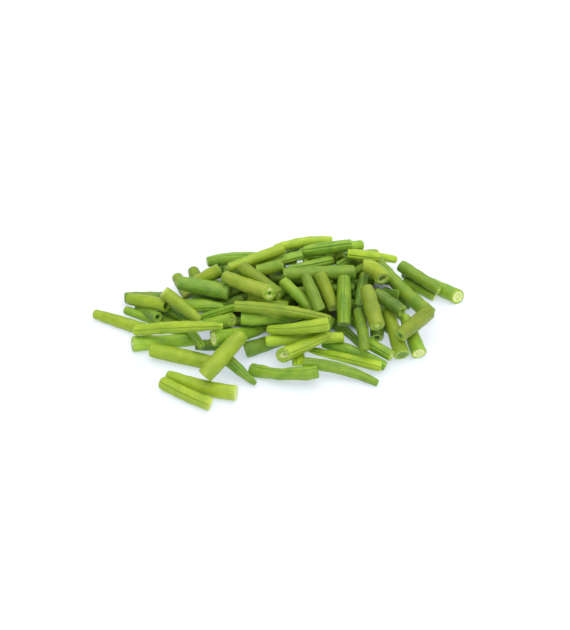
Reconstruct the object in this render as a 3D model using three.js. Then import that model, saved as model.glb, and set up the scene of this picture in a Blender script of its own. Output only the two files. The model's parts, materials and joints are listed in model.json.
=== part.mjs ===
// A loose heap of cut green beans, each piece one closed solid.
// Units are millimetres, +Z is up, the heap's front faces -Y and its length lies along X.
import * as THREE from "three";

// ---- driving sizes -------------------------------------------------------------------------
const SIGHT_RISE = 37.5;      // degrees between the table and the sight lines the heap is laid out on
const SIGHT_LENGTH = 900;     // distance along the middle sight line, from the eye to the table
const CLEARANCE = 0.4;        // air kept between two pieces that lean on each other
const INNER_HEIGHT = 22;      // height of the hidden pieces inside the heap
const INNER_HALF_LENGTH = 80; // half the length over which they lie
const INNER_FOOT = -25;       // where they begin, up the sight plane
const INNER_CREST = 25;       // where they are at their full height
const TABLE_PRESS = 0.96;     // a piece on the table is as high as this share of its radius
const SIDES = 10;             // corners round one piece
const SEAM_DEPTH = 0.07;      // share of the radius by which the pod's seam lies in
const RIM_SHARE = 0.9;        // a cut rim is rounded off to this share of the radius
const SLANT = 0.16;           // most that a knife cut leans, as a slope
const RINGS = [0, 0.05, 0.2, 0.4, 0.6, 0.8, 0.95, 1];

// ---- skins ---------------------------------------------------------------------------------
const SKINS = {
  lime: { color: 0xa6c63a, roughness: 0.42 },
  mid: { color: 0x8db53b, roughness: 0.42 },
  leaf: { color: 0x5b9339, roughness: 0.45 },
  olive: { color: 0x9aa94a, roughness: 0.5 },
};

// ---- the pieces, from the table upwards ------------------------------------------------------
// One row is one piece: its first and second end on the sight plane (across, up), how far its
// middle bows upwards, its first, middle and second diameter, the turn of its seam from the side
// that faces the eye, and its skin. The sight plane passes through the middle of the table and
// faces the eye, so a row says how a piece looks from there. Rows that end in "slim" are thin
// pieces squeezed in between: they take up room here and are made with the heap's dressing. Rows
// that end in "low" lie at the foot of the heap's far side, with no hidden pieces under them.
const BEHIND_THE_HEAP = [
  [-46.6, 29.9, -11.4, 35.1, 0, 7.8, 8.8, 7.8, 180, "mid", "low"],
  [-5.6, 38, 31.6, 40, 1, 7.3, 8.3, 7.5, 180, "leaf", "low"],
  [35.4, 36.1, 64.6, 29.9, 0, 7.8, 8.3, 7.3, 180, "mid", "low"],
  [-31.6, 32.9, 7.6, 37.1, 0, 7.8, 8.8, 8.3, 0, "lime", "low"],
  [11.4, 38.5, 47.6, 36, 0.5, 8.3, 8.8, 6.3, 0, "mid", "low"],
  [-62.5, 19.7, -39.5, 30.8, 0, 7.3, 7.8, 7.3, 180, "leaf", "low"],
];
const ON_THE_TABLE = [
  [-50.6, 34.5, -14.4, 37, 1, 6.8, 8.8, 6.8, -30, "leaf"],
  [-6.6, 41.9, 30.6, 48.1, 1.5, 5.5, 7.1, 6.3, 150, "lime"],
  [29.4, 42.4, 50.1, 45.1, 0, 7.5, 7.5, 7.1, 180, "mid"],
  [44.4, 39.5, 60.1, 40.5, 0, 5.5, 5.5, 5.2, 180, "lime", "slim"],
  [54.4, 38.6, 71.6, 35.9, 0, 5.5, 5.8, 5.5, 40, "lime"],
  [-59.7, 29.1, -54.8, 15.9, 0, 7.8, 7.8, 7.5, 30, "lime"],
  [-69.8, 24.5, -63.2, 11.5, 0, 8.1, 8.1, 7.5, 180, "lime", "slim"],
  [77, 27.7, 112.5, 11.8, 0, 8.1, 9.4, 10, 160, "mid"],
  [77.5, 20.3, 97.5, 9.7, 0, 4.2, 5.8, 5.8, 180, "lime", "slim"],
  [-104.1, 11, -72.9, 11.5, 0.3, 7.8, 7.5, 6.8, 180, "mid"],
  [-104.1, 3.7, -80.4, -5.2, 0, 5.5, 6.2, 5.5, 60, "mid", "slim"],
  [-123.6, 0.7, -85.9, -10.7, 0, 6.2, 8.1, 8.1, 180, "lime"],
  [-38.1, 29.7, -14.4, 21.8, 0, 7.5, 8.1, 7.5, 180, "leaf", "slim"],
  [34.9, 43.1, 36.1, 34.4, 0, 7.5, 7.5, 7.5, 180, "leaf", "slim"],
  [7.4, 15, 44.6, 18, 0, 6.5, 6.8, 6.5, 180, "leaf", "slim"],
  [-45.6, 4.8, -26.9, 10.7, 0, 6.2, 6.2, 6.2, 180, "leaf", "slim"],
  [-24.1, 11.6, 2.1, 5.9, 0, 6.2, 6.2, 6.2, 180, "mid", "slim"],
  [-83, 8.8, -59.5, -6.3, 0, 6.8, 7.5, 6.2, 0, "leaf", "slim"],
  [29.9, 8.6, 52.1, 6.4, 0, 5.8, 6.2, 5.8, 180, "leaf", "slim"],
  [61.5, 8.3, 77, -0.8, 0, 6.2, 6.8, 6.2, 180, "leaf", "slim"],
  [59.5, 16.1, 59.5, -15.1, 0, 8.1, 9.1, 8.4, 180, "leaf"],
  [-99.1, -19, -57.4, -16, 0, 9.7, 8.8, 7.5, 180, "mid"],
  [-58.6, -19.5, -35.4, -20, 0, 6.8, 7.5, 7.5, 180, "leaf", "slim"],
  [7.4, 4.2, 31.6, -5.7, 0, 6.8, 7.5, 7.5, 180, "leaf", "slim"],
  [37.2, -8.6, 51.4, -21.2, 0, 5.8, 5.8, 5.5, 0, "leaf", "slim"],
  [77.8, -1.4, 87.2, -25.1, 0, 6.8, 8.8, 9.7, 180, "mid"],
  [66.8, 2.6, 76.2, -26.1, 0, 7.5, 8.8, 10, 180, "lime"],
  [51.5, -16.7, 69.5, -26.8, 0, 7.5, 7.5, 7.1, 10, "mid"],
  [-27.1, -22.7, 5.1, -13.3, 0, 10.3, 9.4, 7.5, 180, "leaf"],
  [8, -18.9, 9, -33.1, 0, 8.1, 8.4, 8.4, 20, "lime"],
  [24.9, -17.6, 66.1, -32.4, 1.2, 7.5, 8.1, 6.5, 180, "leaf"],
  [15.4, -22.4, 62.6, -33.6, 0, 4.2, 6.5, 7.1, 10, "lime"],
  [11.9, -30.4, 60.6, -43.9, 2.6, 7.1, 7.1, 4.5, -40, "mid"],
  [-22.1, -35.5, 21.6, -36.5, -2.3, 8.1, 8.1, 8.4, -30, "mid"],
  [-87.1, -21.4, -44.4, -30.1, 0, 9.4, 10, 8.8, 60, "lime"],
  [-42.5, -24.6, -19, -44.9, 0, 7.5, 7.1, 3.2, -10, "leaf"],
  [-76.1, -38.8, -31.4, -50.7, -2, 6.2, 9.1, 9.1, 180, "lime"],
  [-80, -43.8, -48, -58.2, -0.6, 8.1, 8.4, 8.1, 10, "lime"],
];
const SECOND_LAYER = [
  [12.9, 40.4, 44.1, 44.1, 0, 8.1, 8.8, 7.5, -10, "leaf"],
  [-18.6, 31.9, 11.1, 39.1, 0, 6.5, 6.8, 6.5, 30, "mid"],
  [-36.6, 30.8, -0.9, 43.2, 0, 6.2, 7.1, 7.1, 180, "lime"],
  [1.9, 29.4, 30.6, 35.1, 0, 6.2, 6.5, 6.2, 0, "mid", "slim"],
  [-17.6, 27.5, 0.4, 31.6, 0, 7.5, 8.1, 7.5, 180, "mid", "slim"],
  [51.6, 26.6, 47.4, 5.9, 0, 6.5, 6.8, 6.8, -20, "leaf", "slim"],
  [58.8, 14.2, 76.4, 2.4, 0, 8.3, 8.6, 8.1, 180, "leaf"],
  [75, 32.3, 100.5, 16.2, 0, 8.8, 8.4, 7.8, 180, "mid"],
  [60.2, 38, 96.2, 1, -1.6, 7.4, 9.4, 10.6, 180, "mid"],
  [40.4, 39.8, 60, 37.8, 0, 6.7, 7.1, 6.7, 20, "lime"],
  [-61, 19.2, -42.5, 29.8, 0.3, 8.1, 8.4, 8.1, 180, "olive"],
  [-101.6, 10.6, -76.9, 5.9, 0.3, 7.5, 8.8, 8.4, 60, "lime"],
  [-68.1, 6.5, -39.9, 5, 0.6, 8.1, 8.8, 4.2, 30, "mid"],
  [-55.6, -2.7, -32.4, 5.2, 0, 5.5, 5.8, 5.5, 0, "mid", "slim"],
  [-55.1, -7.1, -34.4, -2.9, 0, 6.8, 8.1, 8.8, 180, "mid", "slim"],
  [-64.8, -4, -53.2, -20.5, 0, 5.8, 5.8, 5.2, -30, "mid", "slim"],
  [-46.6, -16.1, -10.4, -8.9, -0.6, 10.1, 9.1, 3.5, 180, "mid"],
  [-12.6, -17, 38.1, -14.5, 0.3, 6.8, 7.5, 6.8, 180, "lime"],
  [-1.2, 26.2, 45.6, 28.5, 0.3, 7.8, 8.8, 9.1, 180, "mid"],
  [50.5, 32.3, 62.8, 22.3, 2.2, 8.3, 9.9, 10.4, 180, "olive"],
];
const UPPER_LAYERS = [
  [-69.6, 21.1, -36.4, 14.9, 0, 8.8, 10, 10.7, -80, "leaf"],
  [-29, 32.4, -3.5, 13.1, 0, 7.5, 8.1, 7.8, -50, "lime"],
  [-39.6, 25.3, -9.9, 14.3, -0.5, 7.8, 9.1, 10.3, 180, "olive"],
  [-29.6, -1, 12.1, -2, -0.6, 8.9, 7.5, 2.9, 180, "mid"],
  [-3.2, 23.9, 17.6, 2.8, 0, 6.4, 7.4, 7, 180, "mid"],
  [13.3, 25.6, 22.7, 2.9, 0, 6.8, 8.1, 7.8, -50, "mid"],
  [21.3, 27.1, 31.2, 3.9, 0, 8.1, 8.1, 7.8, 180, "olive"],
  [38.3, 24.6, 38.3, -7.1, 0, 7.9, 9.1, 8.3, 0, "mid"],
  [-33.6, 7.1, 30.1, -1.6, 1.5, 7, 7.5, 4.7, -10, "lime"],
  [-2.1, -24.7, 29.1, -11.8, 0, 10, 8.4, 5.2, 20, "lime"],
  [-11.1, -10.1, 28.6, -4.4, -1.2, 5.8, 7.9, 9.1, 0, "lime"],
  [46.5, 3.1, 52.1, -24.1, 1, 6.7, 7.7, 6.5, 180, "mid"],
  [53.4, 18.1, 59.6, -7.6, 0, 8.8, 10.7, 10.3, 180, "olive"],
  [74.5, -13.4, 93.5, 1.9, 0, 8.4, 9.7, 9.4, 180, "olive"],
  [-79, 15.4, -55.5, -3.4, 0, 7.9, 8.1, 5.5, 50, "lime"],
  [-97.6, -10, -40.4, -7.5, 1, 6.5, 7.5, 3.9, 10, "lime"],
  [-28.6, -13.1, -52.4, -39.9, 0, 10.3, 11, 10.3, 180, "lime"],
];

// ---- laying the heap -------------------------------------------------------------------------
const rise = THREE.MathUtils.degToRad(SIGHT_RISE);
const eye = new THREE.Vector3(0, -SIGHT_LENGTH * Math.cos(rise), SIGHT_LENGTH * Math.sin(rise));
const PROBES = 33;            // steps along a piece at which its rest on the others is felt
const SHARES = Array.from({ length: PROBES + 1 }, (_, k) => k / PROBES);
const BRUSH = 0.17;           // a lap under this share of two radii is a brush, not a crossing
const SLIP_ROUNDS = 14;       // times a piece may slip before it is left where it is
const SLIP_SPARE = 0.15;      // air that a slip leaves beyond the least it needs
const MOST_SLIP = 1.8;        // an end slips no further than this

function sightPlane(across, up) {
  return new THREE.Vector3(across, up * Math.sin(rise), up * Math.cos(rise));
}

// the point at a given height on the sight line through a place of the sight plane
function onSightLine(place, height) {
  const reach = (eye.z - height) / (eye.z - place.z);
  return eye.clone().lerp(place, reach);
}

function readRow([u1, v1, u2, v2, bow, first, middle, second, seam, skin, note]) {
  const run = new THREE.Vector2(u2 - u1, v2 - v1).normalize();
  const upward = run.x < 0 ? new THREE.Vector2(run.y, -run.x) : new THREE.Vector2(-run.y, run.x);
  const ends = [new THREE.Vector2(u1, v1), new THREE.Vector2(u2, v2)];
  const start = ends.map((end) => end.clone());
  const spot = (s) => ends[0].clone().lerp(ends[1], s).addScaledVector(upward, bow * 4 * s * (1 - s));
  const radius = (s) => {
    const shared = first * (1 - s) * (1 - 2 * s) + middle * 4 * s * (1 - s) + second * s * (2 * s - 1);
    return shared / 2;
  };
  return { ends, start, spot, radius, seam, skin, slim: note === "slim", low: note === "low" };
}

// a piece that would only brush the side of a laid one slips aside on the sight plane
function slipAside(piece, laidPieces) {
  for (let round = 0; round < SLIP_ROUNDS; round += 1) {
    const spots = SHARES.map((s) => ({ s, at: piece.spot(s), radius: piece.radius(s) }));
    for (const other of laidPieces) {
      let closest = { lap: -Infinity };
      for (const spot of spots) {
        for (const ball of other.balls) {
          const apart = (spot.radius + ball.radius + CLEARANCE) / ball.scale;
          const lap = apart - Math.hypot(spot.at.x - ball.spot.x, spot.at.y - ball.spot.y);
          if (lap > closest.lap) closest = { lap, apart, spot, ball };
        }
      }
      if (closest.lap > 0 && closest.lap < BRUSH * closest.apart) {
        const { s, at } = closest.spot;
        const away = at.clone().sub(closest.ball.spot).setLength(closest.lap + SLIP_SPARE);
        [1 - s, s].forEach((part, k) => {
          const slip = piece.ends[k].clone().sub(piece.start[k]).addScaledVector(away, part);
          piece.ends[k].copy(piece.start[k]).add(slip.clampLength(0, MOST_SLIP));
        });
      }
    }
  }
}

// the pieces inside the heap, which nothing shows, hold the others up to this height
function innerHeight(spot) {
  const along = Math.max(0, 1 - (spot.x / INNER_HALF_LENGTH) ** 2);
  const slope = THREE.MathUtils.smoothstep(spot.y, INNER_FOOT, INNER_CREST);
  return INNER_HEIGHT * along * slope;
}

// how low a probe of the piece may come down its sight line before it meets table or laid pieces
function lowestHeight(place, radius, floor, laid) {
  const line = place.clone().sub(eye).normalize();
  let height = floor + radius * TABLE_PRESS;
  for (const ball of laid) {
    const toBall = ball.centre.clone().sub(eye);
    const along = toBall.dot(line);
    const apart = radius + ball.radius + CLEARANCE;
    const aside = toBall.lengthSq() - along * along;
    if (aside < apart * apart) {
      const meet = along - Math.sqrt(apart * apart - aside);
      height = Math.max(height, eye.z + line.z * meet);
    }
  }
  return height;
}

// a stiff piece comes to rest on the two contacts, one on each side of its middle, that hold it up
function restingHeights(heights) {
  const last = heights.length - 1;
  const half = last / 2;
  let best = { middle: -Infinity, start: 0, end: 0 };
  for (let i = 0; i <= half; i += 1) {
    for (let j = Math.ceil(half); j <= last; j += 1) {
      if (i === j) continue;
      const slope = (heights[j] - heights[i]) / (j - i);
      const middle = heights[i] + slope * (half - i);
      if (middle > best.middle) {
        best = { middle, start: heights[i] - slope * i, end: heights[i] + slope * (last - i) };
      }
    }
  }
  return best;
}

function layHeap(rows) {
  const laid = [];
  for (const row of rows) {
    const piece = readRow(row);
    slipAside(piece, laid);
    const balls = laid.flatMap((other) => other.balls);
    const place = (s) => sightPlane(...piece.spot(s));
    const floor = (s) => (piece.low ? 0 : innerHeight(piece.spot(s)));
    const rest = restingHeights(
      SHARES.map((s) => lowestHeight(place(s), piece.radius(s), floor(s), balls)),
    );
    piece.centre = (s) => onSightLine(place(s), rest.start + (rest.end - rest.start) * s);
    piece.balls = SHARES.map((s) => {
      const centre = piece.centre(s);
      const scale = centre.distanceTo(eye) / place(s).distanceTo(eye);
      return { spot: piece.spot(s), centre, scale, radius: piece.radius(s) };
    });
    laid.push(piece);
  }
  return laid;
}

// ---- one piece as a solid --------------------------------------------------------------------
let seed = 20260;
function random() {
  seed = (seed * 1664525 + 1013904223) % 4294967296;
  return seed / 4294967296;
}

function beanGeometry(piece) {
  const points = [];
  const slopes = [0, 1].map(() => ({ lean: SLANT * random(), turn: Math.PI * 2 * random() }));
  for (const s of RINGS) {
    const centre = piece.centre(s);
    const along = piece.centre(s + 0.01).sub(piece.centre(s - 0.01)).normalize();
    const facing = eye.clone().sub(centre).projectOnPlane(along).normalize();
    const aside = along.clone().cross(facing);
    const atEnd = s === 0 || s === 1;
    const cut = slopes[Math.round(s)];
    for (let k = 0; k < SIDES; k += 1) {
      const turn = THREE.MathUtils.degToRad(piece.seam) + (k / SIDES) * Math.PI * 2;
      const share = (k === 0 ? 1 - SEAM_DEPTH : 1) * (atEnd ? RIM_SHARE : 1);
      const radius = piece.radius(s) * share;
      const lean = atEnd ? cut.lean * Math.cos(turn - cut.turn) * radius : 0;
      const point = centre.clone()
        .addScaledVector(facing, Math.cos(turn) * radius)
        .addScaledVector(aside, Math.sin(turn) * radius)
        .addScaledVector(along, lean);
      point.z = Math.max(point.z, 0);
      points.push(point);
    }
  }
  const first = points.length;
  points.push(piece.centre(0), piece.centre(1));

  const faces = [];
  const corner = (ring, k) => ring * SIDES + (k % SIDES);
  for (let ring = 0; ring + 1 < RINGS.length; ring += 1) {
    for (let k = 0; k < SIDES; k += 1) {
      faces.push(corner(ring, k), corner(ring, k + 1), corner(ring + 1, k + 1));
      faces.push(corner(ring, k), corner(ring + 1, k + 1), corner(ring + 1, k));
    }
  }
  const lastRing = RINGS.length - 1;
  for (let k = 0; k < SIDES; k += 1) {
    faces.push(first, corner(0, k + 1), corner(0, k));
    faces.push(first + 1, corner(lastRing, k), corner(lastRing, k + 1));
  }
  const geometry = new THREE.BufferGeometry().setFromPoints(points);
  geometry.setIndex(faces);
  geometry.computeVertexNormals();
  return geometry;
}

// ---- the heap ----------------------------------------------------------------------------------
const heap = new THREE.Group();
heap.name = "green_bean_heap";
const pieces = layHeap([...BEHIND_THE_HEAP, ...ON_THE_TABLE, ...SECOND_LAYER, ...UPPER_LAYERS]);
pieces.filter((piece) => !piece.slim).forEach((piece, index) => {
  const skin = new THREE.MeshStandardMaterial({ ...SKINS[piece.skin], metalness: 0 });
  skin.name = `bean_${piece.skin}`;
  const bean = new THREE.Mesh(beanGeometry(piece), skin);
  bean.name = `bean_${String(index + 1).padStart(2, "0")}`;
  heap.add(bean);
});

// the heap is centred on its own length and depth
const box = new THREE.Box3().setFromObject(heap);
const middle = box.getCenter(new THREE.Vector3());
for (const bean of heap.children) {
  bean.geometry.translate(-middle.x, -middle.y, -box.min.z);
}

export default heap;
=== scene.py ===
import json
import math
import random

import bmesh
import bpy
import numpy as np
from mathutils import Matrix, Vector, noise


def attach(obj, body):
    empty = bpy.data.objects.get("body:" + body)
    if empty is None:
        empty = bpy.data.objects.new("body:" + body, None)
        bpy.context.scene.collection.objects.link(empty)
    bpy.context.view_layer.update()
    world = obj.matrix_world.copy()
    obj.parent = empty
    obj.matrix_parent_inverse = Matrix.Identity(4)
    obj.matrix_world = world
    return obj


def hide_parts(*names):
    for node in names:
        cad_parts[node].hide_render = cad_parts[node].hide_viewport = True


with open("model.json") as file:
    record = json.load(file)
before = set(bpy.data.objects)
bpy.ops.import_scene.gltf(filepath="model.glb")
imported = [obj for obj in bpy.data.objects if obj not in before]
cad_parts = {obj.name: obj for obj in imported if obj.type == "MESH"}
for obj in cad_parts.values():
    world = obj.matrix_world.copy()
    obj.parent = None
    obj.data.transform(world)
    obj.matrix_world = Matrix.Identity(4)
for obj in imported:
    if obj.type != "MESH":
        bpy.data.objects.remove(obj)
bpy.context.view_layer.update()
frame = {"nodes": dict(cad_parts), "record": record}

# ---- Cut pods ------------------------------------------------------------------------------
# Lengths of fresh green bean, cut with a knife. Each is a round fleshy pod with a seam along
# one side, faint swellings over its seeds, and two cut ends that show pale flesh. Nothing ties
# them: they lie loose on each other.
MM = 0.001
SIGHT_RISE = math.radians(37.5)         # the eye looks down on the heap this steeply,
SIGHT_LENGTH = 0.9                      # from this far off in metres,
AIM = Vector((4.12, 13.63, 0)) * MM     # at this place on the table
TO_EYE = Vector((0, -math.cos(SIGHT_RISE), math.sin(SIGHT_RISE)))
EYE = AIM + TO_EYE * SIGHT_LENGTH

CORNERS_OF_CUT = 10         # corners round a pod's solid
SOLID_WELD = 1e-6           # corners nearer than this, in metres, are one: of a solid,
POD_WELD = 1e-7             # and of a finished pod
AROUND = 40                 # points round a finished pod, closer together beside the seam
BUNCHING = 0.55
STEP_MM = 1.2               # distance between two of its rings
FEWEST_STEPS = 6
SKIN_INSET_MM = 0.1         # its skin lies this far inside the solid's, before the relief
LOWEST_MM = 0.02            # no point lies lower over the table

SEAM_DEPTH_MM = 0.4
SEAM_WIDTH_MM = 0.36
LIP_HEIGHT_MM = 0.14        # the seam has a lip on either side
LIP_WIDTH_MM = 0.55
LIP_PLACE_MM = 1.0
BACK_RIDGE_MM = 0.1         # and a fine ridge lies opposite it
BACK_RIDGE_WIDTH_MM = 0.5
SEED_SPACING_MM = 9.5
FIRST_SEED_MM = 3
SEED_SWELL_MM = 0.1
SWELL_SHARES = (0.4, 1.5)
MOST_OVAL = 0.035           # how far a pod's girth may be off the round, by its radius
MOST_TWIST = 0.35           # how far its seam may wind round it, in radians
SEAM_THINNESS = (0.9, 1.7)  # how much narrower than its groove the dark line in a seam is
SKIN_SHARE = 0.95           # no seam is drawn further in than this share of the radius
OFF_SEAM_MM = 9
PATTERN_PLACES_MM = 90      # each pod has its own part of every pattern, somewhere up to here
UNEVEN_MM = 0.13            # how uneven the skin is, but on a few pods that begin to shrivel,
KNOBBLY = {"pod_25": 1.0, "pod_47": 0.25, "pod_44": 0.25}
UNEVEN_SPAN_MM = 7          # and how far its humps are apart
PALE_REACH_MM = 3           # the skin is paler this far from a cut
CUT_BAND_MM = 1             # a slanting cut drags the skin beside it along with it this far,
SLANT_REACH_MM = 8          # and less and less over this much more
MOST_SLANT = 0.75

# A cut end, from its rim to its heart: share of the radius, depth in millimetres, what is seen
# there (0 skin, 1 flesh, 2 seed), how pale it is (below 0 is painted shade, in the hollows of a cut
# and on cuts in shade), and its width for its height.
RIM = [(1.0, 0.55, 0, 0.08, 1), (0.985, 0.22, 0, 0.2, 1), (0.94, 0.05, 0, 0.3, 1)]
CUT_ENDS = {
    "round": [(1.0, 1.1, 0, 0, 1), (0.97, 0.55, 0, 0, 1), (0.9, 0.22, 0, 0.06, 1),
              (0.74, 0.06, 0, 0.08, 1), (0.5, 0.0, 0, 0.04, 1), (0.25, 0.0, 0, 0.04, 1),
              (0.0, 0.0, 0, 0.04, 1)],
    "young": RIM + [(0.87, 0.0, 1, 0.05, 1), (0.72, 0.03, 1, 0.15, 1), (0.6, 0.18, 1, -0.1, 0.8),
                    (0.5, 0.24, 1, 0.3, 0.7), (0.34, 0.14, 1, 0.7, 0.65), (0.16, 0.06, 1, 0.85, 0.65),
                    (0.0, 0.06, 1, 0.85, 1)],
    "pith": RIM + [(0.87, 0.0, 1, 0.1, 1), (0.78, 0.02, 1, 0.5, 1), (0.7, 0.06, 1, 0.8, 1),
                   (0.58, 0.12, 1, 1.0, 0.95), (0.46, 0.2, 1, 0.7, 0.9), (0.3, 0.16, 1, 0.65, 0.85),
                   (0.14, 0.1, 1, 0.9, 0.85), (0.0, 0.1, 1, 0.9, 1)],
    "star": RIM + [(0.87, 0.0, 1, 0.1, 1), (0.76, 0.03, 1, 0.25, 1), (0.62, 0.2, 1, 0.0, 0.8),
                   (0.45, 0.5, 1, -0.35, 0.7), (0.25, 0.7, 1, -0.7, 0.6), (0.0, 0.8, 1, -0.7, 1)],
    "seed": RIM + [(0.87, 0.0, 1, 0.2, 1), (0.74, 0.03, 1, 0.45, 1), (0.64, 0.3, 1, 0.1, 0.9),
                   (0.58, 0.6, 1, -0.2, 0.85), (0.5, 0.2, 2, 0.5, 0.8), (0.36, -0.12, 2, 0.9, 0.8),
                   (0.18, -0.26, 2, 1.0, 0.8), (0.0, -0.3, 2, 1.0, 1)],
    "swirl": RIM + [(0.87, 0.0, 1, 0.15, 1), (0.74, 0.1, 1, 0.0, 1), (0.64, -0.1, 1, 0.5, 0.9),
                    (0.5, -0.15, 1, 0.6, 0.85), (0.38, 0.35, 1, -0.2, 0.8), (0.26, 0.1, 1, 0.5, 0.7),
                    (0.12, 0.0, 1, 0.6, 0.7), (0.0, 0.0, 1, 0.6, 1)],
    # A cut that lies in shade: painted shade, darkest towards its sunk middle.
    "painted_shade": RIM + [(0.87, 0.0, 1, 0.1, 1), (0.74, 0.06, 1, -0.1, 1), (0.6, 0.3, 1, -0.4, 0.8),
                   (0.42, 0.5, 1, -0.5, 0.7), (0.2, 0.5, 1, -0.4, 0.7), (0.0, 0.5, 1, -0.4, 1)],
    "hollow": RIM + [(0.87, 0.0, 1, 0.1, 1), (0.74, 0.03, 1, 0.2, 1), (0.6, 0.12, 1, 0.05, 0.9),
                     (0.5, 0.5, 1, -0.3, 0.85), (0.4, 1.5, 1, -0.8, 0.8), (0.22, 2.4, 1, -1.0, 0.7),
                     (0.0, 2.6, 1, -1.0, 1)],
    "glow": [(1.0, 0.9, 0, 0.5, 1), (0.985, 0.45, 0, 0.65, 1), (0.94, 0.12, 0, 0.8, 1),
             (0.86, 0.02, 1, 0.9, 1), (0.6, 0.0, 1, 0.7, 1), (0.3, 0.0, 1, 0.8, 1),
             (0.0, 0.0, 1, 0.8, 1)],
    "pair": RIM + [(0.87, 0.0, 1, 0.0, 1), (0.76, 0.03, 1, 0.1, 1), (0.64, 0.05, 1, 0.0, 1),
                   (0.5, 0.05, 1, 0.0, 1), (0.36, 0.05, 1, 0.0, 1), (0.2, 0.1, 1, -0.3, 1),
                   (0.08, 0.3, 1, -1.0, 1), (0.0, 0.35, 1, -1.0, 1)],
    "split": RIM + [(0.87, 0.0, 1, 0.3, 1), (0.76, 0.03, 1, 0.55, 1), (0.64, 0.25, 1, 0.2, 0.8),
                    (0.5, 0.9, 1, 0.9, 0.55), (0.34, 1.3, 1, 1.0, 0.5), (0.16, 1.5, 1, 0.1, 0.4),
                    (0.0, 1.5, 1, 0.0, 1)],
    "mouth": RIM + [(0.88, 0.0, 1, 0.1, 1), (0.78, 0.05, 1, 0.15, 0.97), (0.6, 0.1, 1, 0.3, 1.05),
                    (0.46, 0.1, 1, 1.0, 1.25), (0.4, 0.5, 1, 0.2, 1.4), (0.36, 1.8, 1, -0.8, 1.45),
                    (0.3, 3.0, 1, -1.1, 1.45), (0.15, 3.6, 1, -1.1, 1.45), (0.0, 3.8, 1, -1.1, 1)],
}
PAIR_WIDTH = 0.5            # a pair of seeds side by side: how far each reaches round the heart,
PAIR_PLACE = 0.46           # its place and reach in shares of the radius, how pale it is, and
PAIR_REACH = 0.22           # the share of the radius that it keeps within
PAIR_PALE = 1.1
PAIR_LIMIT = 0.9
# The cuts that are seen, at a pod's left or right end. Each is a kind of cut, how squarely the
# knife left it facing the front of the heap (1 is full on, 0 is edge on), and how far the
# chamber is turned in it, in degrees. The other cuts are plain, and are turned away from the
# front where their solid's cut isn't.
TURNED_AWAY = ("round", -0.05)
LEFT_CUTS = {
    "bean_07": ("young", 0.15), "bean_15": ("hollow", 0.55), "bean_16": ("young", 0.22),
    "bean_40": ("pith", 0.38), "bean_51": ("painted_shade", 0.3), "bean_53": ("split", 0.8),
    "bean_57": ("star", 0.45), "bean_58": ("glow", 0.05),
}
RIGHT_CUTS = {
    "bean_12": ("pith", 0.72), "bean_17": ("pith", 0.6), "bean_18": ("painted_shade", 0.5),
    "bean_19": ("young", 0.3), "bean_28": ("glow", 0.2), "bean_29": ("glow", 0.1),
    "bean_33": ("star", 0.4), "bean_34": ("young", 0.28), "bean_35": ("young", 0.2),
    "bean_38": ("hollow", 0.6), "bean_43": ("mouth", 0.6, 40), "bean_44": ("young", 0.15),
    "bean_45": ("young", 0.5), "bean_46": ("pair", 0.75, 98), "bean_50": ("pith", 0.35),
    "bean_56": ("seed", 0.5),
}
# How light (up to 1) or dark (down to -1.2) a pod is beside the others of its kind: partly its own
# tone, partly painted light and shade. Pods deep in shade are painted darker, and some that others
# cover are painted lighter.
TONES_AND_PAINTED_LIGHT = {
    "bean_03": -0.4, "bean_04": -0.5, "bean_07": 1, "bean_08": 0.6, "bean_09": 1, "bean_10": 1,
    "bean_11": -1.1, "bean_13": -0.9, "bean_14": -0.3, "bean_15": -1.1, "bean_16": 1,
    "bean_17": 0.5, "bean_18": -0.6, "bean_20": -0.3, "bean_21": 0.8, "bean_22": 1,
    "bean_23": 0.5, "bean_24": -0.5, "bean_25": -0.1, "bean_26": -0.1, "bean_27": 0.2,
    "bean_30": 1, "bean_31": 0.3, "bean_33": -1.2, "bean_34": -0.7, "bean_35": -0.6,
    "bean_36": 0.7, "bean_37": 0.3, "bean_38": -0.2, "bean_39": 0.1, "bean_40": 0.3,
    "bean_41": 0.6, "bean_42": -0.7, "bean_43": 0.5, "bean_44": 0.2, "bean_45": -1.1,
    "bean_46": -0.1, "bean_47": 0.8, "bean_49": -1.1, "bean_50": -0.3, "bean_51": -0.4,
    "bean_52": -0.8, "bean_53": 0.3, "bean_54": 0.1, "bean_55": -1, "bean_56": -0.6,
    "bean_57": -0.8, "bean_58": -0.6, "bean_59": 0.2, "bean_60": -0.4,
}


def read_pod(node):
    """Centres, radii and cut slopes of a pod's solid, ring by ring, from its left end."""
    solid = bmesh.new()
    solid.from_mesh(node.data)
    bmesh.ops.remove_doubles(solid, verts=solid.verts, dist=SOLID_WELD)
    hearts = [v for v in solid.verts if len(v.link_edges) == CORNERS_OF_CUT]
    hearts.sort(key=lambda v: v.co.x)
    layer, seen, rings = [hearts[0]], {hearts[0]}, []
    while layer:
        rings.append([v.co / MM for v in layer])
        layer = list({e.other_vert(v) for v in layer for e in v.link_edges} - seen)
        seen.update(layer)
    solid.free()
    inner = rings[1:-1]
    centres = [sum(ring, Vector()) / len(ring) for ring in inner]
    centres[0], centres[-1] = rings[0][0], rings[-1][0]
    radii = [max((p - c).length for p in ring) for ring, c in zip(inner, centres)]
    seam = Vector()
    for ring, c in zip(inner[2:-2], centres[2:-2]):
        seam += (min(ring, key=lambda p: (p - c).length) - c).normalized()
    slopes = []
    for ring, c, other in ((inner[0], centres[0], centres[1]), (inner[-1], centres[-1], centres[-2])):
        out = (c - other).normalized()
        slope = Vector()
        for p in ring:
            slope += (p - c).dot(out) * ((p - c) - (p - c).dot(out) * out)
        slopes.append(slope * 2 / sum((p - c).length_squared for p in ring))
    return {"centres": centres, "radii": radii, "seam": seam.normalized(), "slopes": slopes}


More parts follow.
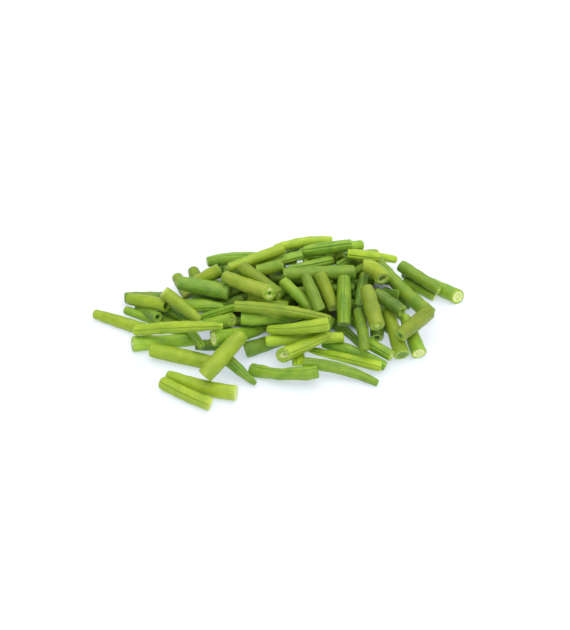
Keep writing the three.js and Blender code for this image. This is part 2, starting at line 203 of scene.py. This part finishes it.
class Course:
    """The smooth middle line of a pod, with its radius, in millimetres along it."""

    def __init__(self, centres, radii):
        steps = [0.0]
        for a, b in zip(centres, centres[1:]):
            steps.append(steps[-1] + (b - a).length)
        self.length = steps[-1]
        self.fits = [np.polyfit(steps, [c[k] for c in centres], 3) for k in range(3)]
        self.swell = np.polyfit(steps[1:-1], radii[1:-1], 2)

    def at(self, along):
        return Vector([float(np.polyval(fit, along)) for fit in self.fits])

    def heading(self, along):
        return (self.at(along + 0.5) - self.at(along - 0.5)).normalized()

    def radius(self, along):
        return float(np.polyval(self.swell, along))


def knife_slope(place, outward, facing, slope):
    """The slope of a cut that turns it that far towards the front of the heap."""
    to_eye = (EYE / MM - place).normalized()
    square = outward.dot(to_eye)
    across = to_eye - square * outward
    if facing < 0 and square < 0:
        return slope
    slant = (facing - square) / across.length
    if facing > 0:
        slant = (facing * math.sqrt(1 + slant * slant) - square) / across.length
    return across.normalized() * -max(-MOST_SLANT, min(MOST_SLANT, slant))


def knife_slopes(course, ends, solid_slopes):
    """The slopes of both cuts of a pod."""
    slopes = []
    for part, end, slope in zip((0, 1), ends, solid_slopes):
        place, heading = course.at(part * course.length), course.heading(part * course.length)
        slopes.append(knife_slope(place, heading if part else -heading, end[1], slope))
    return slopes


def pod_stations(left, right, steps):
    """Rows like those of CUT_ENDS, from the left heart to the right one, each with its place as
    a share of the pod's length. Rows between the two cuts have no depth."""
    stations = [(*row, 0) for row in reversed(left)]
    stations += [(1.0, None, 0, 0, 1, k / steps) for k in range(1, steps)]
    return stations + [(*row, 1) for row in right]


def bell(x, width):
    """1 in the middle, and next to nothing past twice the width."""
    return math.exp(-((x / width) ** 2))


def skin_relief(habit, turn, gap, along, radius):
    """How far the skin stands out at that turn from the seam, which is that gap in millimetres."""
    relief = -SEAM_DEPTH_MM * bell(gap, SEAM_WIDTH_MM)
    relief += LIP_HEIGHT_MM * bell(gap - LIP_PLACE_MM, LIP_WIDTH_MM)
    relief += BACK_RIDGE_MM * bell(abs(math.pi - turn) * radius, BACK_RIDGE_WIDTH_MM)
    seed_phase = (along - habit["first_seed"]) / SEED_SPACING_MM
    relief += habit["swell"] * math.cos(2 * math.pi * seed_phase) * math.sin(turn) ** 2
    return relief + habit["oval"] * radius * math.cos(2 * turn)


def grow_pod(name, shape, ends, draw, tone_and_painted_light):
    """A finished pod as a mesh, made from one grid that is rolled up and closed at both cuts."""
    course = Course(shape["centres"], shape["radii"])
    left, right = (CUT_ENDS[end[0]] for end in ends)
    stations = pod_stations(left, right, max(FEWEST_STEPS, round(course.length / STEP_MM)))
    last = len(stations) - 1
    slopes = knife_slopes(course, ends, shape["slopes"])
    lies = [math.radians(end[2]) if len(end) > 2 else 0 for end in ends]
    twist = draw.uniform(-MOST_TWIST, MOST_TWIST)
    habit = {"first_seed": draw.uniform(FIRST_SEED_MM, SEED_SPACING_MM),
             "swell": SEED_SWELL_MM * draw.uniform(*SWELL_SHARES),
             "oval": draw.uniform(-MOST_OVAL, MOST_OVAL)}
    uneven = KNOBBLY.get(name, UNEVEN_MM)
    seam_thinness = draw.uniform(*SEAM_THINNESS)
    away = Vector([draw.uniform(0, PATTERN_PLACES_MM) for _ in range(3)])

    pod = bmesh.new()
    bmesh.ops.create_grid(pod, x_segments=last, y_segments=AROUND, size=0.5)
    grown = pod.verts.layers.float_vector.new("grown")
    layers = [pod.verts.layers.float.new(key) for key in ("seam_mm", "pale", "tone_and_painted_light")]
    for face in pod.faces:
        place = (face.calc_center_median().x + 0.5) * last
        towards_heart = math.floor(place) if place < last / 2 else math.ceil(place)
        face.material_index = stations[towards_heart][2]
        face.smooth = True
    for vert in pod.verts:
        share, depth, _seen, pale, width, part = stations[round((vert.co.x + 0.5) * last)]
        in_cut = depth is not None
        turn = (vert.co.y + 0.5) * 2 * math.pi
        turn -= BUNCHING * math.sin(turn)
        inward = 1 if part == 0 else -1
        along = part * course.length + (inward * depth if in_cut else 0)
        heading = course.heading(along)
        radius = course.radius(min(max(along, 0), course.length))
        to_seam = (shape["seam"] - shape["seam"].dot(heading) * heading).normalized()
        to_seam = Matrix.Rotation(twist * (along / course.length - 0.5), 3, heading) @ to_seam
        aside = heading.cross(to_seam)
        across = to_seam * math.cos(turn) + aside * math.sin(turn)

        gap = min(turn, 2 * math.pi - turn) * radius
        relief = skin_relief(habit, turn, gap, along, radius)
        hump = (course.at(along) + across * radius) / UNEVEN_SPAN_MM + away
        relief += uneven * noise.noise(hump)
        reach = share * (radius - SKIN_INSET_MM + relief * share * share)
        lie = lies[part] if in_cut else 0
        long_way = aside * math.cos(lie) - to_seam * math.sin(lie)
        across += long_way * math.sin(turn - lie) * (width - 1)
        point = course.at(along) + across * reach
        for slope, from_cut, side in zip(slopes, (along, course.length - along), (-1, 1)):
            drag = min(1, max(0, 1 - (from_cut - CUT_BAND_MM) / SLANT_REACH_MM))
            point += side * heading * slope.dot(across * reach) * drag
        point.z = max(point.z, LOWEST_MM)
        vert.co = point * MM

        if not in_cut:
            pale = max(left[0][3] * bell(along, PALE_REACH_MM),
                       right[0][3] * bell(course.length - along, PALE_REACH_MM))
        elif ends[part][0] == "pair" and share < PAIR_LIMIT:
            beside = bell(abs(math.cos(turn - lie)) - 1, PAIR_WIDTH)
            pale += PAIR_PALE * beside * bell(share - PAIR_PLACE, PAIR_REACH)
        vert[grown] = Vector((along, radius * math.cos(turn), radius * math.sin(turn))) + away
        seam_mm = gap * seam_thinness if share > SKIN_SHARE else OFF_SEAM_MM
        for layer, value in zip(layers, (seam_mm, pale, tone_and_painted_light)):
            vert[layer] = value
    bmesh.ops.remove_doubles(pod, verts=pod.verts, dist=POD_WELD)
    bmesh.ops.recalc_face_normals(pod, faces=pod.faces)
    mesh = bpy.data.meshes.new(name)
    pod.to_mesh(mesh)
    pod.free()
    return mesh


def linear(colour):
    """An sRGB hex colour as linear light."""
    parts = [int(colour[i:i + 2], 16) / 255 for i in (1, 3, 5)]
    return [p / 12.92 if p <= 0.04045 else ((p + 0.055) / 1.055) ** 2.4 for p in parts] + [1.0]


def add_node(material, kind, links=None, **settings):
    """A node of that kind, with its settings by name and its inputs linked or set."""
    node = material.node_tree.nodes.new(kind)
    for key, value in settings.items():
        setattr(node, key, value)
    for key, value in (links or {}).items():
        socket = node.inputs[key]
        if isinstance(value, bpy.types.NodeSocket):
            material.node_tree.links.new(value, socket)
        else:
            socket.default_value = value
    return node


def set_ramp(node, *stops):
    """The ramp's colours, each with its place, and the socket that gives them."""
    ramp = node.color_ramp
    while len(ramp.elements) < len(stops):
        ramp.elements.new(0.5)
    for element, (place, colour) in zip(ramp.elements, stops):
        element.position = place
        element.color = linear(colour)
    return node.outputs["Color"]


# How many waves of noise a millimetre holds. Along a pod, its fibres and pores have only the
# last share of them.
FIBRES_A_MM = 0.85
CLOUDS_A_MM = 0.13
PORES_A_MM = 2.6
ALONG_THE_POD = 0.09
TONE_STRENGTH = 0.3             # a tone of 1 makes the skin lighter by this share
SEAM_SHADE = 0.62               # how dark the line in the seam is, up to the first of these
SEAM_SHADE_MM = (0.1, 0.65)     # distances from its middle. It ends at the second.


def pod_skin(name, bright, deep, seam_colour, tip_colour):
    """Raw pod skin: a thin waxy cuticle over green flesh, with a dull shine. It is streaked along
    the pod by its fibres, darker in the seam and paler at a cut, where the flesh shows through."""
    material = bpy.data.materials.new(name)
    material.use_nodes = True
    shader = material.node_tree.nodes["Principled BSDF"]
    grown = add_node(material, "ShaderNodeAttribute", attribute_name="grown").outputs["Vector"]
    seam = add_node(material, "ShaderNodeAttribute", attribute_name="seam_mm").outputs["Fac"]
    pale = add_node(material, "ShaderNodeAttribute", attribute_name="pale").outputs["Fac"]
    tone_and_painted_light = add_node(material, "ShaderNodeAttribute", attribute_name="tone_and_painted_light").outputs["Fac"]
    fibres = add_node(material, "ShaderNodeMapping", {
        "Vector": grown, "Scale": (ALONG_THE_POD, 1.0, 1.0)}).outputs[0]
    streaks = add_node(material, "ShaderNodeTexNoise", {
        "Vector": fibres, "Scale": FIBRES_A_MM, "Detail": 5.0, "Roughness": 0.6})
    clouds = add_node(material, "ShaderNodeTexNoise", {
        "Vector": grown, "Scale": CLOUDS_A_MM, "Detail": 2.0, "Roughness": 0.5})
    both = add_node(material, "ShaderNodeMath", {
        0: streaks.outputs["Fac"], 1: clouds.outputs["Fac"]}, operation="ADD")
    shade = add_node(material, "ShaderNodeMath", {0: both.outputs[0], 1: 0.5}, operation="MULTIPLY")
    ground = set_ramp(add_node(material, "ShaderNodeValToRGB", {"Fac": shade.outputs[0]}),
                      (0.36, deep), (0.63, bright))
    # A pod's tone, with painted light and shade in it, makes its whole skin lighter or darker.
    strength = add_node(material, "ShaderNodeMath", {0: tone_and_painted_light, 1: TONE_STRENGTH, 2: 1.0},
                        operation="MULTIPLY_ADD")
    toned = add_node(material, "ShaderNodeVectorMath", {0: ground, "Scale": strength.outputs[0]},
                     operation="SCALE")
    in_seam = add_node(material, "ShaderNodeMapRange", {
        "Value": seam, "From Min": SEAM_SHADE_MM[0], "From Max": SEAM_SHADE_MM[1],
        "To Min": SEAM_SHADE, "To Max": 0.0})
    with_seam = add_node(material, "ShaderNodeMix", {
        0: in_seam.outputs[0], 6: toned.outputs[0], 7: linear(seam_colour)}, data_type="RGBA")
    with_tip = add_node(material, "ShaderNodeMix", {
        0: pale, 6: with_seam.outputs[2], 7: linear(tip_colour)}, data_type="RGBA")
    material.node_tree.links.new(with_tip.outputs[2], shader.inputs["Base Color"])
    pores = add_node(material, "ShaderNodeTexNoise", {
        "Vector": fibres, "Scale": PORES_A_MM, "Detail": 3.0, "Roughness": 0.55})
    bump = add_node(material, "ShaderNodeBump", {
        "Height": pores.outputs["Fac"], "Strength": 0.4, "Distance": 0.3 * MM})
    material.node_tree.links.new(bump.outputs[0], shader.inputs["Normal"])
    shader.inputs["Roughness"].default_value = 0.42
    shader.inputs["IOR"].default_value = 1.4
    shader.inputs["Subsurface Weight"].default_value = 0.06
    shader.inputs["Subsurface Radius"].default_value = (0.8, 1.0, 0.3)
    shader.inputs["Subsurface Scale"].default_value = 1.5 * MM
    return material


GRAINS_A_MM = 1.4           # again in waves of noise
PATCHES_A_MM = 0.4


def cut_flesh(name, painted_shade, green, lime, cream, roughness):
    """Flesh that a knife laid bare, moist and finely grained: green by the skin, paler towards
    the seed chamber, and dark down a chamber that stands open, where the dark is painted shade."""
    material = bpy.data.materials.new(name)
    material.use_nodes = True
    shader = material.node_tree.nodes["Principled BSDF"]
    grown = add_node(material, "ShaderNodeAttribute", attribute_name="grown").outputs["Vector"]
    pale = add_node(material, "ShaderNodeAttribute", attribute_name="pale").outputs["Fac"]
    grain = add_node(material, "ShaderNodeTexNoise", {
        "Vector": grown, "Scale": GRAINS_A_MM, "Detail": 3.0})
    patches = add_node(material, "ShaderNodeTexNoise", {
        "Vector": grown, "Scale": PATCHES_A_MM, "Detail": 1.0})
    patched = add_node(material, "ShaderNodeMath", {0: patches.outputs["Fac"], 1: 0.9, 2: pale},
                       operation="MULTIPLY_ADD")
    grained = add_node(material, "ShaderNodeMath", {
        0: grain.outputs["Fac"], 1: 0.3, 2: patched.outputs[0]}, operation="MULTIPLY_ADD")
    shade = add_node(material, "ShaderNodeMapRange", {
        "Value": grained.outputs[0], "From Min": -0.4, "From Max": 1.6})
    # The ramp's first colour is painted shade, for the hollows in a cut and for cuts in shade.
    colour = set_ramp(add_node(material, "ShaderNodeValToRGB", {"Fac": shade.outputs[0]}),
                      (0.0, painted_shade), (0.45, green), (0.72, lime), (1.0, cream))
    material.node_tree.links.new(colour, shader.inputs["Base Color"])
    bump = add_node(material, "ShaderNodeBump", {
        "Height": grain.outputs["Fac"], "Strength": 0.3, "Distance": 0.2 * MM})
    material.node_tree.links.new(bump.outputs[0], shader.inputs["Normal"])
    shader.inputs["Roughness"].default_value = roughness
    shader.inputs["Subsurface Weight"].default_value = 0.15
    shader.inputs["Subsurface Radius"].default_value = (1.0, 1.0, 0.5)
    shader.inputs["Subsurface Scale"].default_value = 1.2 * MM
    return material


# Four skins: their light and deep greens, and their colours in the seam and beside a cut.
SKINS = {
    "bean_lime": pod_skin("pod_skin_lime", "#AEC636", "#8FAF2B", "#6F9626", "#CCDC62"),
    "bean_mid": pod_skin("pod_skin_mid", "#9BBA36", "#74A02D", "#5A8724", "#BAD055"),
    "bean_leaf": pod_skin("pod_skin_leaf", "#90AF38", "#63902F", "#4A7822", "#AAC452"),
    "bean_olive": pod_skin("pod_skin_olive", "#A8B838", "#86A230", "#688929", "#C2CE60"),
}
# Cut flesh is nearly matt, and the seeds in it are a little smoother.
FLESH = cut_flesh("cut_flesh", "#26400F", "#8CB43A", "#B4D044", "#EDF2B0", roughness=0.5)
SEED = cut_flesh("bean_seed", "#5A7A24", "#A2C038", "#BED246", "#D8E67C", roughness=0.45)

BALLS_A_POD = 17
balls = []              # places along every pod with its radius there, which keep others clear


def make_pod(name, shape, skin, ends, draw, tone_and_painted_light):
    """A finished pod in the heap, with its skin, flesh and seeds."""
    pod = bpy.data.objects.new(name, grow_pod(name, shape, ends, draw, tone_and_painted_light))
    bpy.context.scene.collection.objects.link(pod)
    for material in (SKINS[skin], FLESH, SEED):
        pod.data.materials.append(material)
    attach(pod, "root")
    course = Course(shape["centres"], shape["radii"])
    for k in range(BALLS_A_POD):
        along = course.length * k / (BALLS_A_POD - 1)
        balls.append([*course.at(along), course.radius(along)])
    return pod


POD_SEED = 100          # each pod's own draws start from this and its number
slot_of = {part["node"]: part["material_slot"] for part in frame["record"]["subparts"]}
for number, (node_name, node) in enumerate(sorted(frame["nodes"].items())):
    cuts = (LEFT_CUTS.get(node_name, TURNED_AWAY), RIGHT_CUTS.get(node_name, TURNED_AWAY))
    pod = make_pod(f"pod_{node_name[-2:]}", read_pod(node), slot_of[node_name], cuts,
                   random.Random(POD_SEED + number), TONES_AND_PAINTED_LIGHT.get(node_name, 0.0))
    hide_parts(node_name)

# ---- Slim pods squeezed in between ---------------------------------------------------------
# Thin lengths, cut from younger pods or from the narrow parts of others. They lie wedged in the
# gaps of the heap, and most of their cuts can't be seen.

# A row gives a pod's two ends as the eye sees them, from the middle of the heap: across, up, and
# the height over the table. Then come its first, middle and last diameter, the turn of its seam
# from the side that faces the eye, in degrees, its skin and its right cut.
SLIM_PODS = [
    ((44.5, 39.5, 18.5), (60, 40.5, 12.5), (5.4, 5.4, 5.1), 180, "bean_lime", TURNED_AWAY),
    ((-70, 24.5, 9.5), (-63, 11.5, 11), (8, 8, 7.4), 180, "bean_olive", TURNED_AWAY),
    ((77.5, 22, 3.5), (97.5, 11.8, 3.5), (6, 7, 6.6), 180, "bean_mid", ("glow", 0.1)),
    ((-104, 3.5, 3), (-80.5, -5, 3), (5.4, 6.1, 5.4), 60, "bean_mid", TURNED_AWAY),
    ((-95.5, 5, 3), (-82.5, -1.5, 9.5), (6, 6.6, 7.2), 180, "bean_leaf", ("hollow", 0.7)),
    ((-38, 29.5, 21.5), (-14.5, 22, 25.5), (7.4, 8, 7.4), 180, "bean_leaf", TURNED_AWAY),
    ((35.5, 43, 27), (36, 35.5, 21), (7.4, 7.4, 7.4), 180, "bean_mid", ("star", 0.85)),
    ((7.5, 15, 24), (44.5, 18, 19), (6.4, 6.7, 6.4), 180, "bean_leaf", TURNED_AWAY),
    ((-45.5, 5, 12.5), (-27, 10.5, 18.5), (6.1, 6.1, 6.1), 180, "bean_leaf", TURNED_AWAY),
    # This pod has the lime skin, a painted light that makes it lighter where the heap shades it.
    ((-24, 11.5, 23), (2, 6, 18), (6.1, 6.1, 6.1), 180, "bean_lime", TURNED_AWAY),
    ((-83, 9, 7.5), (-59.5, -6.5, 6.5), (6.7, 7.4, 6.1), 0, "bean_leaf", TURNED_AWAY),
    ((30, 8.5, 17.5), (52, 6.5, 12), (5.7, 6.1, 5.7), 180, "bean_leaf", TURNED_AWAY),
    ((-79.5, -3, 3.2), (-66, -8.5, 3.2), (5.8, 6.2, 5.8), 180, "bean_leaf", TURNED_AWAY),
    ((-82, 3.5, 3.4), (-67, -4.5, 3.4), (6, 6.4, 6), 180, "bean_leaf", TURNED_AWAY),
    ((64, 16, 3.6), (82, 6, 3.6), (6.4, 6.8, 6.4), 180, "bean_leaf", TURNED_AWAY),
    ((38, 2, 3.6), (51, -10, 3.6), (6.4, 6.7, 6.1), 180, "bean_leaf", TURNED_AWAY),
    ((27, -2, 3.6), (39.5, -12, 3.6), (6.4, 6.7, 6.4), 180, "bean_leaf", TURNED_AWAY),
    ((61.5, 8.5, 9.5), (77, -1, 3.5), (6.1, 6.7, 6.1), 180, "bean_leaf", TURNED_AWAY),
    ((-58.5, -19.5, 6), (-35.5, -20, 4), (6.7, 7.4, 7.4), 180, "bean_leaf", TURNED_AWAY),
    ((7.5, 4, 19), (31.5, -5.5, 10), (6.7, 7.4, 7.4), 180, "bean_leaf", TURNED_AWAY),
    ((38, -9, 7), (51.5, -21, 3), (5.7, 5.7, 5.4), 0, "bean_leaf", TURNED_AWAY),
    ((2, 29, 25.5), (31, 35.5, 24.5), (6.1, 6.8, 6.8), 0, "bean_mid", TURNED_AWAY),
    ((-18.5, 28.5, 34.5), (-1.5, 32.5, 32), (7.4, 8, 7.4), 180, "bean_mid", ("seed", 0.8)),
    ((51.5, 26.5, 25), (47.5, 6, 18), (6.4, 6.7, 6.7), -20, "bean_leaf", TURNED_AWAY),
    ((-54.5, -2, 13), (-32.5, 5, 24), (5.4, 5.7, 5.4), 0, "bean_mid", TURNED_AWAY),
    ((-55, -7, 12), (-34.5, -3, 19.5), (6.7, 8, 8.7), 180, "bean_mid", ("swirl", 0.75)),
    ((-65.5, -4.5, 10), (-53.5, -21, 15), (5.7, 5.7, 5.1), -30, "bean_mid", TURNED_AWAY),
]


def seen_place(across, up, height):
    """The place at that height whose sight line passes that point, in millimetres."""
    eye = EYE / MM
    plane = AIM / MM + Vector((across, up * math.sin(SIGHT_RISE), up * math.cos(SIGHT_RISE)))
    return eye.lerp(plane, (eye.z - height) / (eye.z - plane.z))


SLIM_SEED = 300
SLIM_TONES = (-0.6, 0.2)
STRAIGHT_STEPS = 6
SLIGHT_SLOPE = 0.06         # a cut may lean by this much


def slight_slope(draw):
    """The slope of a cut that the knife left nearly straight."""
    return Vector([draw.uniform(-SLIGHT_SLOPE, SLIGHT_SLOPE) for _ in range(3)])


def straight_pod(start, end, diameters, seam, slope):
    """The shape of a straight pod between two places, with its first, middle and last diameter."""
    shares = [k / STRAIGHT_STEPS for k in range(STRAIGHT_STEPS + 1)]
    first, middle, last = (d / 2 for d in diameters)
    radii = [first * (1 - s) * (1 - 2 * s) + 4 * middle * s * (1 - s) + last * s * (2 * s - 1)
             for s in shares]
    return {"centres": [start.lerp(end, s) for s in shares], "radii": radii,
            "seam": seam, "slopes": [slope, slope]}


for number, (left_end, right_end, diameters, turn, skin, right_cut) in enumerate(SLIM_PODS):
    start, end = seen_place(*left_end), seen_place(*right_end)
    draw = random.Random(SLIM_SEED + number)
    heading = (end - start).normalized()
    facing = (TO_EYE - TO_EYE.dot(heading) * heading).normalized()
    seam = Matrix.Rotation(math.radians(turn), 3, heading) @ facing
    shape = straight_pod(start, end, diameters, seam, slight_slope(draw))
    make_pod(f"slim_pod_{number + 1:02d}", shape, skin, (TURNED_AWAY, right_cut), draw,
             draw.uniform(*SLIM_TONES))

# ---- Pods inside the heap ------------------------------------------------------------------
# The middle of the heap is full of more cut pods that lie every way on the table and on each
# other. They are dropped one by one wherever there is still room, and show only as dark green
# in the gaps and along the far side, their skins painted darker as painted shade.
INNER_SEED = 11
INNER_TRIES = 6000
SHORTEST_MM = 12
LONGER_BY_MM = 28
RADII_MM = (3.3, 4.2)
LATE_SHORTENING = 0.85          # the last ones tried are shorter and thinner by up to this,
LATE_THINNING_MM = 1.1          # to fill what gaps are left
BESIDE_MM = 9                   # each is tried up to this far aside of a pod that is there,
TURN_SPREAD = 0.8               # turned and tilted by about this, in radians,
TILT_SPREAD = 0.16
LEVELS = 36                     # and lifted a millimetre at a time, from this far over the table
LIFT_MM = 0.1
TWO_POINTS_MM = 5               # two steps between the points along it that are looked at
INNER_GAP_MM = 0.15             # it keeps this clear of the others,
UNDER_ROOF_MM = 2               # and its middle line this far under the highest of them
COVER_REACH_MM = 8.5            # it has others over it, no further aside than this,
COVERED_SHARE = 0.75            # along at least this much of its length
HIDDEN_SHARE = 0.55             # and is hidden from the front along at least this much
SECTORS = 6                     # what is not hidden has other pods round it on this many sides,
SECTOR_REACH_MM = 13            # no further off than this
SLENDERNESS = (0.9, 1)          # it is this thick for the room that it has
# Their tones lie all on the dark side: partly a random tone, partly painted shade.
INNER_TONES_AND_PAINTED_SHADE = (-1.2, -0.2)
# Places where the table shows through between the pods: across, up, reach.
OPEN_PLACES = [
    (-53, -12, 3), (-64, -21, 5), (-42, 24, 3.5), (73, -3.5, 3), (43.5, -17, 7), (66.5, -19, 6.5),
    (13.5, 35, 2.5), (4.5, 32.5, 3), (-24, -27, 6), (-14, -28, 7), (-4, -27, 7), (52, -21, 4),
    (-30, 15, 4), (-19, 42, 4), (3, -2.5, 3),
]


def seen_from_front(points):
    """Across and up as the eye sees points, in millimetres, and how far they are from it."""
    towards = np.array([0, math.cos(SIGHT_RISE), -math.sin(SIGHT_RISE)])
    upwards = np.array([0, math.sin(SIGHT_RISE), math.cos(SIGHT_RISE)])
    off = points - np.array(EYE / MM)
    depth = off @ towards
    scale = SIGHT_LENGTH / MM / depth
    return np.stack([off[:, 0] * scale, off @ upwards * scale], axis=1), depth


def sectors_round(spot):
    """The sides on which a spot has the outer pods beside it, as the eye sees them."""
    off = ball_spots - spot
    off = off[np.linalg.norm(off, axis=1) < SECTOR_REACH_MM]
    return set(np.floor(np.arctan2(off[:, 1], off[:, 0]) / (2 * np.pi / SECTORS)))


def is_free(points, radius, others):
    """Whether a pod along those points is clear of the others."""
    gaps = np.linalg.norm(points[:, None, :] - others[None, :, :3], axis=2) - others[None, :, 3]
    return gaps.min() >= radius + INNER_GAP_MM


def is_hidden(points, radius):
    """Whether the outer pods hide most of a pod, and the rest shows only in between them, away
    from the places that are left open."""
    spots, depths = seen_from_front(points)
    apart = np.linalg.norm(spots[:, None, :] - ball_spots[None, :, :], axis=2)
    hiding = (apart < outer_balls[None, :, 3]) & (ball_depths[None, :] < depths[:, None])
    bare = spots[~hiding.any(axis=1)]
    if len(bare) > (1 - HIDDEN_SHARE) * len(spots):
        return False
    if any(math.dist(spot, place[:2]) < place[2] + radius for spot in bare for place in OPEN_PLACES):
        return False
    return all(len(sectors_round(spot)) >= SECTORS for spot in bare)


draw = random.Random(INNER_SEED)
outer_balls = np.array(balls)
ball_spots, ball_depths = seen_from_front(outer_balls[:, :3])
inner_count = 0
for attempt in range(INNER_TRIES):
    late = attempt / INNER_TRIES
    length = SHORTEST_MM + LONGER_BY_MM * draw.uniform(0, 1) * (1 - LATE_SHORTENING * late)
    radius = draw.uniform(*RADII_MM) - LATE_THINNING_MM * late
    over = draw.choice(balls)
    x = over[0] + draw.uniform(-BESIDE_MM, BESIDE_MM)
    y = over[1] + draw.uniform(-BESIDE_MM, BESIDE_MM)
    bearing, dip = draw.gauss(0, TURN_SPREAD), draw.gauss(0, TILT_SPREAD)
    level_length = math.cos(dip)
    heading = Vector((math.cos(bearing) * level_length, math.sin(bearing) * level_length, math.sin(dip)))
    half = heading * length / 2
    shares = np.linspace(-1, 1, 2 * round(length / TWO_POINTS_MM) + 1)
    points = np.array([x, y, 0]) + shares[:, None] * np.array(half)
    others = np.array(balls)
    reach = length / 2 + BESIDE_MM
    near = others[(abs(others[:, 0] - x) < reach) & (abs(others[:, 1] - y) < reach)]
    sides = np.linalg.norm(points[:, None, :2] - outer_balls[None, :, :2], axis=2)
    roof = np.where(sides < COVER_REACH_MM, outer_balls[None, :, 2], 0).max(axis=1)
    for level in range(LEVELS):
        height = radius + abs(half.z) + LIFT_MM + level
        lifted = points + np.array([0, 0, height])
        if (lifted[:, 2] + UNDER_ROOF_MM < roof).mean() < COVERED_SHARE:
            break
        if not is_free(lifted, radius, near) or not is_hidden(lifted, radius):
            continue
        inner_count += 1
        middle = Vector((x, y, height))
        thickness = 2 * radius * draw.uniform(*SLENDERNESS)
        seam = Vector((draw.uniform(-1, 1), draw.uniform(-1, 1), 1)).normalized()
        shape = straight_pod(middle - half, middle + half, [thickness] * 3, seam, slight_slope(draw))
        make_pod(f"inner_pod_{inner_count:02d}", shape, draw.choice(["bean_leaf", "bean_mid"]),
                 (TURNED_AWAY, TURNED_AWAY), draw, draw.uniform(*INNER_TONES_AND_PAINTED_SHADE))
        break

# ---- Table, light and camera ---------------------------------------------------------------
# A smooth white table in soft daylight from above and from the front. Under the middle of the heap
# the table is painted dark and green: painted shade, with a painted green bounce from the pods.
# The heap is seen from a little above, along its front.
TABLE_REACH = 3             # metres, from the middle of the heap
# Where the painted shade under the heap lies, and how far it reaches, in metres.
UNDER_HEAP_PLACE = (0.012, 0.03, 0)
UNDER_HEAP_REACH = (0.066, 0.036, 1)
FRAME_HEIGHT = 630          # pixels
METRES_A_PIXEL = 0.00065
SENSOR = 36.0

# A matt white table top. In the open it glows a little bluish, a painted light that leaves hardly
# any shade on it. Under the heap it is painted dark green shade and does not glow. Each pair of
# colours is for under the heap and for the open table.
white = bpy.data.materials.new("white_table_painted_shade_and_glow")
white.use_nodes = True
sheet = white.node_tree.nodes["Principled BSDF"]
sheet.inputs["Roughness"].default_value = 0.9
sheet.inputs["Emission Strength"].default_value = 1.0
on_table = add_node(white, "ShaderNodeTexCoord").outputs["Object"]
from_heap = add_node(white, "ShaderNodeMapping", {
    "Vector": on_table, "Location": UNDER_HEAP_PLACE, "Scale": UNDER_HEAP_REACH}, vector_type="TEXTURE")
off_middle = add_node(white, "ShaderNodeVectorMath", {0: from_heap.outputs[0]}, operation="LENGTH")
in_the_open = add_node(white, "ShaderNodeMapRange", {
    "Value": off_middle.outputs["Value"], "From Min": 0.85, "From Max": 1.2}).outputs[0]
# Painted shade: the table's own colour is dark green under the heap and pale grey in the open.
shade = add_node(white, "ShaderNodeMix", {
    0: in_the_open, 6: linear("#505230"), 7: linear("#BCBCBC")}, data_type="RGBA")
white.node_tree.links.new(shade.outputs[2], sheet.inputs["Base Color"])
# Painted light: in the open the table glows bluish, and under the heap not at all.
glow = add_node(white, "ShaderNodeMix", {
    0: in_the_open, 6: linear("#000000"), 7: linear("#AFB6C4")}, data_type="RGBA")
white.node_tree.links.new(glow.outputs[2], sheet.inputs["Emission Color"])

table_grid = bmesh.new()
bmesh.ops.create_grid(table_grid, x_segments=1, y_segments=1, size=TABLE_REACH)
table = bpy.data.objects.new("table", bpy.data.meshes.new("table"))
table_grid.to_mesh(table.data)
table_grid.free()
table.data.materials.append(white)
bpy.context.scene.collection.objects.link(table)

world = bpy.data.worlds.new("daylight")
bpy.context.scene.world = world
world.use_nodes = True
world.node_tree.nodes["Background"].inputs["Color"].default_value = linear("#FFFFFF")
world.node_tree.nodes["Background"].inputs["Strength"].default_value = 0.38


def soft_sun(name, strength, spread, lean, aside):
    """A wide even light from one side of the sky, with its spread and turns in degrees."""
    light = bpy.data.lights.new(name, "SUN")
    light.energy = strength * math.pi
    light.angle = math.radians(spread)
    lamp = bpy.data.objects.new(name, light)
    lamp.rotation_euler = (math.radians(lean), math.radians(aside), 0)
    bpy.context.scene.collection.objects.link(lamp)


soft_sun("ceiling", strength=0.66, spread=90, lean=-4, aside=5)
soft_sun("front", strength=0.24, spread=70, lean=42, aside=12)

camera_data = bpy.data.cameras.new("camera")
camera_data.sensor_fit = "VERTICAL"
camera_data.sensor_height = SENSOR
camera_data.lens = SENSOR * SIGHT_LENGTH / METRES_A_PIXEL / FRAME_HEIGHT
camera = bpy.data.objects.new("camera", camera_data)
camera.location = EYE
camera.rotation_euler = (math.pi / 2 - SIGHT_RISE, 0, 0)
bpy.context.scene.collection.objects.link(camera)
bpy.context.scene.camera = camera
bpy.context.scene.view_settings.view_transform = "Standard"
